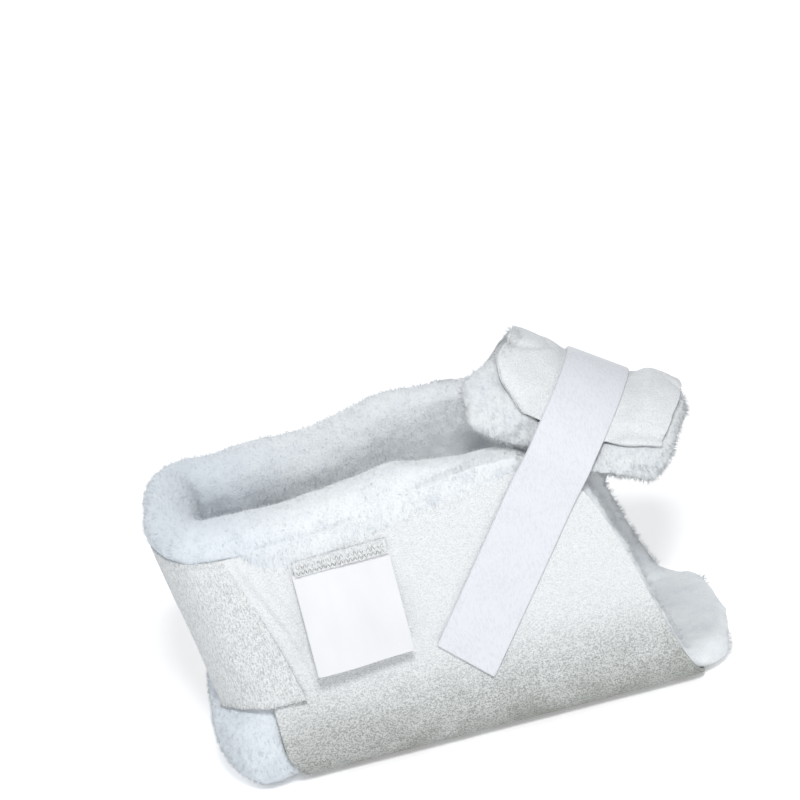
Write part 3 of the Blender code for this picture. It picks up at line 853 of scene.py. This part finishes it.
# The flap over the ankle
flapShape = {
    "flat": (0.075, 0.115),
    "flatArea": 0.0078,
    "creaseLength": 0.030,
    "creaseWidth": 0.09,
    "creaseDepth": 0.0010,
    "levels": 3,
    "crease": 0.7,
    "wave": 0.0009,
    "waveLength": 0.016,
    "lump": 0.0003,
    "lumpLength": 0.006,
    "voxel": 0.0018,
    "smoothing": 3,
    "clump": 0.0009,
    "clumpLength": 0.008,
    "tuft": 0.0005,
    "tuftLength": 0.003,
    "clearance": 0.0004,
}


def makeFlapBacking(material, neighbours):
    backing = copyOfNode("ankle_flap_backing", "flapCloth")
    creaseSharpEdges(backing, math.radians(60), flapShape["crease"])
    subdivided(backing, flapShape["levels"])
    trees = [treeOf(neighbour) for neighbour in neighbours]

    def wander(place, normal):
        lift = flapShape["wave"] * fluff(place, flapShape["waveLength"], 4.2)
        valley = fluff(place, flapShape["creaseLength"], 9.4) / flapShape["creaseWidth"]
        lift -= flapShape["creaseDepth"] * math.exp(-valley * valley)
        lift += flapShape["lump"] * fluff(place, flapShape["lumpLength"], 2.2)
        for tree in trees:
            hit = tree.find_nearest(place, 0.006)
            if hit[0] is not None:
                room = max(hit[3] - 0.0002, 0) * 0.6
                lift = clamp(lift, -room, room)
        return lift

    moveAlongNormals(backing, wander)
    writeShare(backing, "soft", lambda place, normal: 0.9)
    writeShare(backing, "sole", lambda place, normal: 0.0)
    finishPiece(backing, material, "knit_backing", "ankle_flap_backing")
    print("flap cloth:", len(backing.data.polygons), "faces")
    return backing


def makeFlapPile(material, neighbours):
    pile = copyOfNode("ankle_flap_pile", "flapPile")
    remeshed(pile, flapShape["voxel"], flapShape["smoothing"])
    subdivided(pile, 1)
    fluffUp(pile, flapShape, neighbours, 6.4)
    finishPiece(pile, material, "fleece_pile", "ankle_flap_pile")
    print("flap pile:", len(pile.data.polygons), "faces")
    return pile


# The strap and the label
strapShape = {
    "levels": 3,
    "crease": 0.8,
    "width": 0.025,
    "length": 0.225,
}
labelShape = {
    "levels": 3,
    "crease": 0.9,
    "width": 0.0365,
    "height": 0.0385,
    "fromCut": 0.0195,
    "top": 0.088,
    "swing": 0.0026,  # how much further its lower edge hangs out
    "curl": 0.0009,
}
bandShape = {
    "fromCut": 0.0206,
    "width": 0.0352,
    "low": -0.0006,  # below and above the label's top
    "high": 0.0048,
    "columns": 56,
    "rows": 8,
    "proud": 0.0013,
    "thickness": 0.0008,
}


def makeStrap(material):
    strap = copyOfNode("strap", "strapTape")
    creaseSharpEdges(strap, math.radians(60), strapShape["crease"])
    subdivided(strap, strapShape["levels"])
    finishPiece(strap, material, "strap_webbing", "strap")
    print("strap:", len(strap.data.polygons), "faces")
    return strap


def makeLabel(material):
    label = copyOfNode("label", "bareLabel")
    creaseSharpEdges(label, math.radians(60), labelShape["crease"])
    subdivided(label, labelShape["levels"])
    for vert in label.data.vertices:
        down = clamp((labelShape["top"] - vert.co.z) / labelShape["height"])
        across = clamp((vert.co.x - cutX - labelShape["fromCut"]) / labelShape["width"])
        vert.co.y -= labelShape["swing"] * down ** 2
        vert.co.y -= labelShape["curl"] * down * math.sin(across * math.pi * 1.4 + 0.6)
    finishPiece(label, material, "label_satin", "label")
    print("label:", len(label.data.polygons), "faces")
    return label


# Sewing thread, in short raised stitches
threadFinish = {
    "lit": (0.46, 0.46, 0.45, 1),
    "hollow": (0.20, 0.195, 0.18, 1),
}


def makeThread():
    material, nodes, links = newMaterial("sewingThread")
    plain = mapped(nodes, links, (1, 1, 1))
    twist = noiseOn(nodes, links, plain, 1800, 2)
    colour = ramped(nodes, links, twist, [(0.40, threadFinish["hollow"]), (0.60, threadFinish["lit"])])
    setShader(nodes, links, colour, bumped(nodes, links, [(twist, 0.4, 0.0002)]), 0.7, 0.1)
    return material


def addStitches(name, material, slot, pairs, outwards, thickness):  # pairs of (start, end)
    points, faces = [], []
    for start, end in pairs:
        along = (end - start).normalized()
        side = along.cross(outwards).normalized() * thickness
        middle, first = (start + end) / 2, len(points)
        points += [start - outwards * thickness, end - outwards * thickness]
        points += [middle + side, middle + outwards * thickness, middle - side, middle - outwards * thickness]
        for corner in range(4):
            a, b = first + 2 + corner, first + 2 + (corner + 1) % 4
            faces += [(first, a, b), (first + 1, b, a)]
    mesh = bpy.data.meshes.new(name)
    mesh.from_pydata(points, [], faces)
    stitches = linked(name, mesh)
    selectOnly(stitches)
    bpy.ops.object.mode_set(mode="EDIT")
    bpy.ops.mesh.select_all(action="SELECT")
    bpy.ops.mesh.normals_make_consistent(inside=False)
    bpy.ops.object.mode_set(mode="OBJECT")
    finishPiece(stitches, material, slot)
    print(name + ":", len(pairs), "stitches")
    return stitches


def zigzag(placeAt, start, end, low, high, step):  # pairs between two lines, in the cloth's own run
    count = int((end - start) / step)
    corners = [placeAt(start + step * k, low if k % 2 else high) for k in range(count + 1)]
    return list(zip(corners, corners[1:]))


def makeBand(material, cover):  # the strip that is sewn over the label's top
    tree = treeOf(cover)
    columns, rows = bandShape["columns"], bandShape["rows"]
    low, high = labelShape["top"] + bandShape["low"], labelShape["top"] + bandShape["high"]
    points = []
    for row in range(rows + 1):
        for column in range(columns + 1):
            across, up = column / columns, row / rows
            z = mix(low, high, up) + 0.0003 * fluff(Vector((across * 36, up * 2, 0)), 1.0)
            crown = math.sin(math.pi * min(up * 0.8 + 0.35, 1)) ** 0.5
            lift = bandShape["thickness"] + bandShape["proud"] * crown
            lift += 0.00025 * fluff(Vector((across * 30, up * 6, 4)), 1.0)
            lift += 0.0004 * ease(1 - up * 4)
            points.append(onCover(tree, bandShape["fromCut"] + bandShape["width"] * across, z, lift))
    faces = []
    for row in range(rows):
        for column in range(columns):
            start = row * (columns + 1) + column
            faces.append((start, start + 1, start + columns + 2, start + columns + 1))
    mesh = bpy.data.meshes.new("labelBand")
    mesh.from_pydata(points, [], faces)
    band = linked("labelBand", mesh)
    addModifier(band, "SOLIDIFY", thickness=bandShape["thickness"], offset=-1)
    writeShare(band, "soft", lambda place, normal: 0.55)
    writeShare(band, "sole", lambda place, normal: 0.0)
    finishPiece(band, material, "knit_backing")
    print("label band:", len(band.data.polygons), "faces")
    return band


def sewLabel(thread, cover, band):
    tree = treeOf(band)

    def placeAt(across, z):
        return onCover(tree, across, z, 0.00018)

    start, end = bandShape["fromCut"] + 0.0008, bandShape["fromCut"] + bandShape["width"] - 0.0008
    top = labelShape["top"]
    pairs = zigzag(placeAt, start, end, top - 0.0002, top + 0.0016, 0.00085)
    pairs += zigzag(placeAt, start + 0.0003, end, top + 0.0016, top + 0.0036, 0.00085)
    return addStitches("labelStitches", thread, "label_satin", pairs, Vector((0, -1, 0)), 0.00016)


# Stitches on the far side: the strap's end and the flap's seam
farSewing = {
    "middle": (0.0473, 0.0908),  # X and Z of the flap's arch
    "tilt": math.radians(37),
    "strapShift": 0.005,
    "strapHalf": 0.0107,
    "strapRows": ((-0.0425, -0.0400), (-0.0345, -0.0320)),
    "seamHalf": 0.030,
    "seamInset": 0.0014,
    "seamWidth": 0.0022,
    "step": 0.0011,
    "thickness": 0.00017,
}


def onFarSide(tree, along, up, lift):  # a place across the strap and up its plane
    turn, (x, z) = farSewing["tilt"], farSewing["middle"]
    x += math.cos(turn) * along + math.sin(turn) * up
    z += math.cos(turn) * up - math.sin(turn) * along
    hit = tree.ray_cast(Vector((x, 0.09, z)), Vector((0, -1, 0)), 0.065)
    return None if hit[0] is None else hit[0] + Vector((0, lift, 0))


def seamFoot(tree, along):  # lowest point of the flap's cloth on the far side
    heights = [0.02 - 0.0005 * k for k in range(130)]
    found = [up for up in heights if onFarSide(tree, along, up, 0) is not None]
    return found[-1] if found else None


def sewFarSide(thread, strap, flapBacking):
    strapTree, flapTree = treeOf(strap), treeOf(flapBacking)
    shift, half, step = farSewing["strapShift"], farSewing["strapHalf"], farSewing["step"]
    pairs = []
    for low, high in farSewing["strapRows"]:
        pairs += zigzag(lambda along, up: onFarSide(strapTree, along, up, 0.0001),
                        shift - half, shift + half, low, high, step)

    def seamPoint(along, inset):
        foot = seamFoot(flapTree, along)
        return None if foot is None else onFarSide(flapTree, along, foot + inset, 0.0001)

    inset, reach = farSewing["seamInset"], farSewing["seamHalf"]
    clear = half + 0.003
    for start, end in ((-reach, shift - clear), (shift + clear, reach)):
        pairs += zigzag(seamPoint, start, end, inset, inset + farSewing["seamWidth"], step)
    pairs = [pair for pair in pairs if None not in pair and (pair[0] - pair[1]).length < 4 * step]
    addStitches("farStitches", thread, "strap_webbing", pairs, Vector((0, 1, 0)), farSewing["thickness"])


makeCamera()
makeStudio()
terry = makeTerry()
pile = makePile("fleecePile", 1)
flapFleece = makePile("flapFleece", pileFinish["flapLight"])
webbing = makeWebbing()
satin = makeSatin()
thread = makeThread()
cover = makeCover(terry)
lap = makeLap(terry, cover)
strap = makeStrap(webbing)
flapBacking = makeFlapBacking(terry, [strap, cover])
flapPile = makeFlapPile(flapFleece, [flapBacking, strap])
lining = makeLining(pile, [cover, flapPile])
addFibres(lining, "rimFibres", 30000, pile, isRimPile, fibreShape["short"])
addFibres(flapPile, "flapFibres", 14000, flapFleece, isAnyPile, fibreShape["short"])
addFibres(flapPile, "fringeTufts", 2600, flapFleece, isFringe, fibreShape["long"])
addFibres(lining, "edgeTufts", 1800, pile, isCutEdge, fibreShape["long"])
addFibres(cover, "notchThreads", 700, terry, isNotchEdge, fibreShape["frayed"], "knit_backing")
addFibres(lap, "lapThreads", 700, terry, isLapFoot, fibreShape["frayed"], "knit_backing")
addFibres(flapBacking, "flapTuft", 260, flapFleece, isFlapCorner, fibreShape["long"])
label = makeLabel(satin)
band = makeBand(terry, cover)
labelStitches = sewLabel(thread, cover, band)
sewFarSide(thread, strap, flapBacking)

print("all pieces are made")
